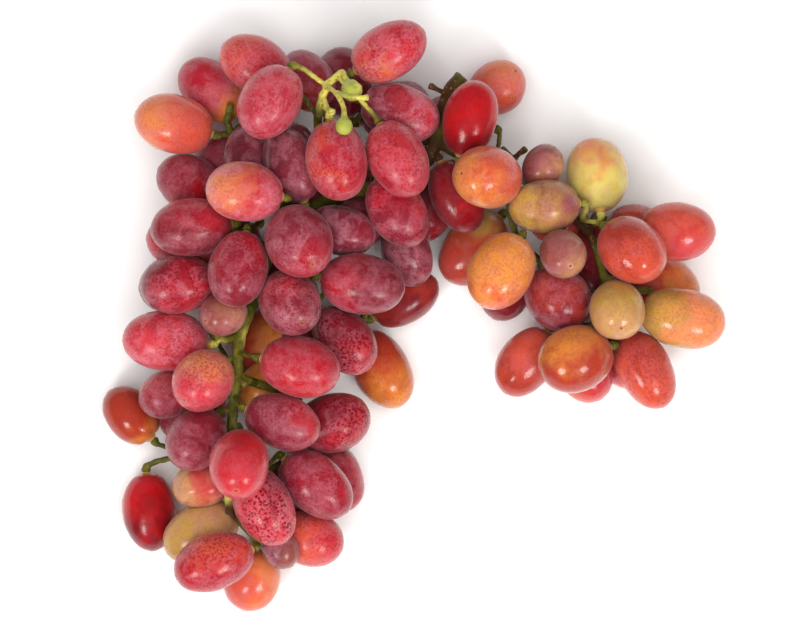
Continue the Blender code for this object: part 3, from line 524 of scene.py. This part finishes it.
def grape_skin(name, gloss, flesh, depth):
    """Skin of one family of berries: how shiny when rubbed, the colour of the flesh's glow and its depth."""
    s = Shader(name)
    place = s.value("skin_place", "Vector")
    broad = s.grain(place, 11.0, 2.0, 0.5, 0.6)
    middling = s.grain(place, 4.2, 3.0, 0.55, 0.4)
    fine = s.grain(place, 0.9, 3.0, 0.6)
    dust = s.grain(place, 0.28, 2.0, 0.6)
    # the second colour, with a ragged edge
    reach = s.sum("ADD", s.value("side"), s.sum("MULTIPLY", s.sum("SUBTRACT", broad, 0.5), 1.5))
    reach = s.sum("ADD", reach, s.sum("MULTIPLY", s.sum("SUBTRACT", middling, 0.5), 0.5))
    tint = s.mix(s.ramp(reach, 0.15, 1.0), s.value("ground", "Color"), s.value("second", "Color"))
    # darker and lighter clouds
    deeper = s.mix(1.0, tint, CLOUD_SHADE, "MULTIPLY")
    tint = s.mix(s.ramp(middling, 0.35, 0.68, 0.0, 0.35), tint, deeper)
    # paler, yellower skin close to the stalk
    near = s.ramp(s.sum("ADD", s.value("from_stalk"), s.sum("MULTIPLY", middling, 4.0)), 2.6, 6.4, 0.75, 0.0)
    tint = s.mix(near, tint, SHOULDER_COLOUR)
    # bloom, thinner on the rubbed patches
    rubbed = s.ramp(s.sum("ADD", broad, s.sum("MULTIPLY", s.sum("SUBTRACT", fine, 0.5), 0.12)), 0.53, 0.6)
    wax = s.sum("MULTIPLY", s.value("bloom"), s.ramp(middling, 0.30, 0.64, 0.2, 1.0))
    wax = s.sum("MULTIPLY", wax, s.ramp(dust, 0.36, 0.60, 0.35, 1.0))
    wax = s.sum("MULTIPLY", wax, s.sum("SUBTRACT", 1.0, s.sum("MULTIPLY", rubbed, 0.72)))
    tint = s.mix(s.sum("MULTIPLY", wax, WAX_COVER, clamp=True), tint, BLOOM_COLOUR)
    # freckles
    wander = s.sum("MULTIPLY", s.sum("SUBTRACT", s.grain(place, 0.5, 2.0), 0.5), 0.9)
    large = s.ramp(s.sum("ADD", s.cells(place, 1.05), wander), 0.56, 0.36)
    small = s.ramp(s.sum("ADD", s.cells(place, 0.55), wander), 0.42, 0.20, 0.0, 0.7)
    spread = s.ramp(s.grain(place, 6.0, 2.0, 0.5), 0.34, 0.56, 0.35, 1.0)
    dots = s.sum("MULTIPLY", s.sum("MAXIMUM", large, small), s.sum("MULTIPLY", spread, s.value("freckles")))
    tint = s.mix(s.sum("MULTIPLY", dots, FRECKLE_COVER, clamp=True), tint, FRECKLE_COLOUR)
    # the pad under the stalk, and the scar at the blossom end
    tint = s.mix(s.ramp(s.value("from_stalk"), 1.9, 1.3), tint, PAD_COLOUR)
    ring = s.ramp(s.value("from_scar"), 1.6, 0.8, 0.0, 0.22)
    tint = s.mix(ring, tint, RING_COLOUR)
    tint = s.mix(s.ramp(s.value("from_scar"), 0.55, 0.3, 0.0, 0.85), tint, SCAR_COLOUR)
    s.feed(s.surface.inputs["Base Color"], tint)
    # gloss
    rough = s.sum("ADD", gloss, s.sum("MULTIPLY", wax, WAX_DULLS))
    rough = s.sum("ADD", rough, s.sum("MULTIPLY", s.sum("SUBTRACT", fine, 0.5), 0.12), clamp=True)
    s.feed(s.surface.inputs["Roughness"], rough)
    ripple = s.bump(middling, RIPPLE)
    pores = s.bump(fine, PORE, ripple)
    s.feed(s.surface.inputs["Normal"], s.bump(dots, -PORE, pores))
    # the glow of the flesh, and a thin gloss and sheen over the skin
    s.surface.inputs["IOR"].default_value = 1.38
    s.surface.inputs["Subsurface Weight"].default_value = depth
    s.surface.inputs["Subsurface Radius"].default_value = flesh
    s.surface.inputs["Subsurface Scale"].default_value = FLESH_REACH
    s.surface.inputs["Coat Weight"].default_value = 0.14
    s.surface.inputs["Coat Roughness"].default_value = 0.16
    s.surface.inputs["Sheen Weight"].default_value = 0.10
    s.surface.inputs["Sheen Roughness"].default_value = 0.45
    s.surface.inputs["Sheen Tint"].default_value = (1.0, 0.82, 0.86, 1)
    return s.material


dark_skin = grape_skin("red_grape_skin", 0.22, (1.0, 0.16, 0.12), 0.16)
light_skin = grape_skin("amber_grape_skin", 0.15, (1.0, 0.50, 0.22), 0.28)
LIGHT_TONES = ("amber", "olive", "lime", "tan", "coral", "brick", "peach")
for name, piece in pieces.items():
    first = next(berry for berry in berries if berry["node"] == name)
    light = look_of(first)[0] in LIGHT_TONES
    piece.data.materials.append(light_skin if light else dark_skin)
    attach(piece, "root")
    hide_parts(name)
print("skins given")

# %% [markdown]
# ## The stem
#
# The stem is woody and green at once: olive bark on the main stem, yellow-green stalks in the open tuft, and
# brown dried ends where a berry has dropped. The frame's stem has flat-sided tubes. A fine voxel skin over
# it melts the joints together, a few rounds of smoothing take the facets away, and a little noise along the
# surface makes it look grown.

# %% Melt the tubes together
VOXEL = 0.42 * MM
stem_mesh = stem_node.data.copy()
stem = bpy.data.objects.new("fine_stem", stem_mesh)
bpy.context.scene.collection.objects.link(stem)
melt = stem.modifiers.new("melt", "REMESH")
melt.mode = "VOXEL"
melt.voxel_size = VOXEL
ease = stem.modifiers.new("ease", "SMOOTH")
ease.factor = 0.5
ease.iterations = 6
bpy.context.view_layer.update()
melted = bpy.data.meshes.new_from_object(stem.evaluated_get(bpy.context.evaluated_depsgraph_get()))
stem.modifiers.clear()
stem.data = melted
melted.shade_smooth()
print("stem:", len(melted.polygons), "faces")

# %% Grow the bark
count = len(melted.vertices)
spots = np.empty(count * 3, dtype=np.float32)
normals = np.empty(count * 3, dtype=np.float32)
melted.vertices.foreach_get("co", spots)
melted.vertex_normals.foreach_get("vector", normals)
spots = spots.reshape(-1, 3)
normals = normals.reshape(-1, 3)
LUMP = 0.16  # height of the broad lumps of the bark, mm
GRAIN = 0.09  # height of its finer grain, mm
BARK = 0.12  # thickness that smoothing took off and the bark gives back, mm
STEM_LOWEST = 0.05 * MM  # nothing of the stem lies lower than this


def bark_rise(spot):
    """How far the bark stands out at a spot of the stem, in mm."""
    spot = Vector(spot) / MM
    return LUMP * noise.noise(spot * 0.45) + GRAIN * noise.noise(spot * 1.3) + BARK


rise = np.array([bark_rise(spot) for spot in spots])
spots = spots + normals * (rise * MM)[:, None]
spots[:, 2] = np.maximum(spots[:, 2], STEM_LOWEST)
melted.vertices.foreach_set("co", spots.ravel())

# Where the stem is fresh and where it has dried: place (mm), reach (mm)
FRESH = [((-24, 71, 52), 15), ((56, 34, 26), 8), ((-64, -9, 28), 4), ((-51, -7, 30), 4), ((-61, -58, 27), 4)]
DRY = [((8, 71, 30), 11), ((32, 51, 25), 7), ((5, 52, 24), 9), ((53, 28, 22), 9), ((-59, -64, 27), 5)]


def nearness(places):
    """One close to any of the places, fading to nought over its reach."""
    close = np.zeros(count)
    for place, reach in places:
        away = np.linalg.norm(spots / MM - np.array(place), axis=1)
        close = np.maximum(close, np.exp(-(away / reach) ** 2))
    return close


give(melted, "fresh", "FLOAT", nearness(FRESH))
give(melted, "dry", "FLOAT", nearness(DRY))
give(melted, "stem_place", "FLOAT_VECTOR", spots / MM)
# The two tiny berries that never grew: middle (mm), radius (mm)
SHOT_BERRIES = [((-22.5, 60.0, 62.0), 4.2), ((-20.9, 71.5, 54.0), 4.6)]
shot = np.zeros(count)
for place, radius in SHOT_BERRIES:
    away = np.linalg.norm(spots / MM - np.array(place), axis=1)
    shot = np.maximum(shot, np.clip((radius - away) / 0.8, 0, 1))
give(melted, "shot_berry", "FLOAT", shot)


# %% Mix the bark
OLIVE_DARK = colour(62, 66, 16)
OLIVE_LIGHT = colour(108, 104, 34)
FRESH_GREEN = colour(204, 194, 92)
DRY_BROWN = colour(66, 42, 20)
CORK_COLOUR = colour(146, 100, 50)
BARK_SHADE = (0.5, 0.42, 0.3, 1)  # what the weathered grain multiplies the bark by
SHOT_DARK = colour(138, 138, 46)
SHOT_LIGHT = colour(176, 180, 82)


def stem_bark():
    """Olive bark, yellow-green where fresh, brown where dry, with corky specks."""
    s = Shader("grape_stem_bark")
    place = s.value("stem_place", "Vector")
    broad = s.grain(place, 7.0, 3.0, 0.55, 0.5)
    fine = s.grain(place, 1.1, 3.0, 0.6)
    tint = s.mix(s.ramp(broad, 0.35, 0.65), OLIVE_DARK, OLIVE_LIGHT)
    fresh = s.sum("ADD", s.value("fresh"), s.sum("MULTIPLY", broad, 0.5))
    tint = s.mix(s.ramp(fresh, 0.45, 0.95), tint, FRESH_GREEN)
    dry = s.sum("ADD", s.value("dry"), s.sum("MULTIPLY", broad, 0.6))
    tint = s.mix(s.ramp(dry, 0.55, 1.05), tint, DRY_BROWN)
    cork = s.ramp(s.cells(place, 1.6), 0.34, 0.18)
    tint = s.mix(s.sum("MULTIPLY", cork, 0.6), tint, CORK_COLOUR)
    weathered = s.mix(1.0, tint, BARK_SHADE, "MULTIPLY")
    tint = s.mix(s.ramp(fine, 0.4, 0.7, 0.0, 0.4), tint, weathered)
    tint = s.mix(s.value("shot_berry"), tint, s.mix(broad, SHOT_DARK, SHOT_LIGHT))
    s.feed(s.surface.inputs["Base Color"], tint)
    rough = s.sum("ADD", 0.46, s.sum("MULTIPLY", fine, 0.3))
    smoother = s.sum("MULTIPLY", s.value("shot_berry"), 0.3)
    s.feed(s.surface.inputs["Roughness"], s.sum("SUBTRACT", rough, smoother))
    s.feed(s.surface.inputs["Normal"], s.bump(fine, 0.00025, s.bump(cork, 0.00012)))
    s.surface.inputs["Subsurface Weight"].default_value = 0.12
    s.surface.inputs["Subsurface Radius"].default_value = (0.6, 1.0, 0.2)
    s.surface.inputs["Subsurface Scale"].default_value = 0.001
    return s.material


melted.materials.clear()
melted.materials.append(stem_bark())
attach(stem, "root")
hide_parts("stem")

# %% [markdown]
# ## Table, light and camera
#
# The bunch lies on a pale table and is seen from straight above. Two soft lights stand low on the side of the
# tail, left and right, and give each shiny berry its pair of highlights. A very wide light overhead keeps the
# shadows soft. Its own reflection would lie like a pale haze on top of every berry, so it lights the skins but
# is not mirrored in them. The pale room fills the rest.

# %% Lay the table
TABLE_SIZE = 3.0


def pale_table():
    """A matt, nearly white table top."""
    s = Shader("pale_table_top")
    coords = s.tree.nodes.new("ShaderNodeTexCoord").outputs["Object"]
    cloud = s.grain(coords, 0.4, 2.0)
    s.feed(s.surface.inputs["Base Color"], s.mix(cloud, (0.90, 0.895, 0.885, 1), (0.92, 0.915, 0.91, 1)))
    s.surface.inputs["Roughness"].default_value = 0.7
    return s.material


corners = [(x * TABLE_SIZE, y * TABLE_SIZE, 0) for x, y in ((-1, -1), (1, -1), (1, 1), (-1, 1))]
table_mesh = bpy.data.meshes.new("table_top")
table_mesh.from_pydata(corners, [], [(0, 1, 2, 3)])
table_mesh.materials.append(pale_table())
table = bpy.data.objects.new("table_top", table_mesh)
bpy.context.scene.collection.objects.link(table)

# %% Set the lights
AIM = Vector((-4.1, 1.7, 0)) * MM  # the spot on the table that lights and camera point at
WARM = (1.0, 0.985, 0.96)
WHITE = (1.0, 1.0, 1.0)
ROOM_COLOUR = (1.0, 0.995, 0.985, 1)
ROOM_STRENGTH = 0.18


def soft_light(name, turn, lift, away, width, watts, warmth):
    """A square soft light aimed at the bunch: turn and lift in degrees, away and width in metres."""
    light = bpy.data.lights.new(name, "AREA")
    light.size = width
    light.energy = watts
    light.color = warmth
    lamp = bpy.data.objects.new(name, light)
    bpy.context.scene.collection.objects.link(lamp)
    flat = math.cos(math.radians(lift))
    heading = Vector((flat * math.cos(math.radians(turn)), flat * math.sin(math.radians(turn)),
                      math.sin(math.radians(lift))))
    lamp.location = AIM + heading * away
    lamp.rotation_euler = heading.to_track_quat("Z", "Y").to_euler()
    return lamp


soft_light("left_light", -127, 42, 1.2, 0.30, 4.8, WARM)
soft_light("right_light", -53, 42, 1.2, 0.30, 4.8, WARM)
top_light = soft_light("top_light", -90, 84, 1.9, 2.0, 51.0, WHITE)
top_light.visible_glossy = False

world = bpy.data.worlds.new("pale_room")
world.use_nodes = True
world.node_tree.nodes["Background"].inputs["Color"].default_value = ROOM_COLOUR
world.node_tree.nodes["Background"].inputs["Strength"].default_value = ROOM_STRENGTH
bpy.context.scene.world = world
bpy.context.scene.view_settings.view_transform = "Standard"

# %% Look straight down
HEIGHT = 2.5  # metres above the table
SEEN_WIDTH = 0.2565  # width in view at the height of the berries' middles, metres
MIDDLE_HEIGHT = 0.034  # metres above the table
SENSOR = 36.0  # mm
lens = bpy.data.cameras.new("camera")
lens.sensor_width = SENSOR
lens.lens = SENSOR * (HEIGHT - MIDDLE_HEIGHT) / SEEN_WIDTH
lens.clip_end = 50
camera = bpy.data.objects.new("camera", lens)
camera.location = AIM + Vector((0, 0, HEIGHT))
bpy.context.scene.collection.objects.link(camera)
bpy.context.scene.camera = camera
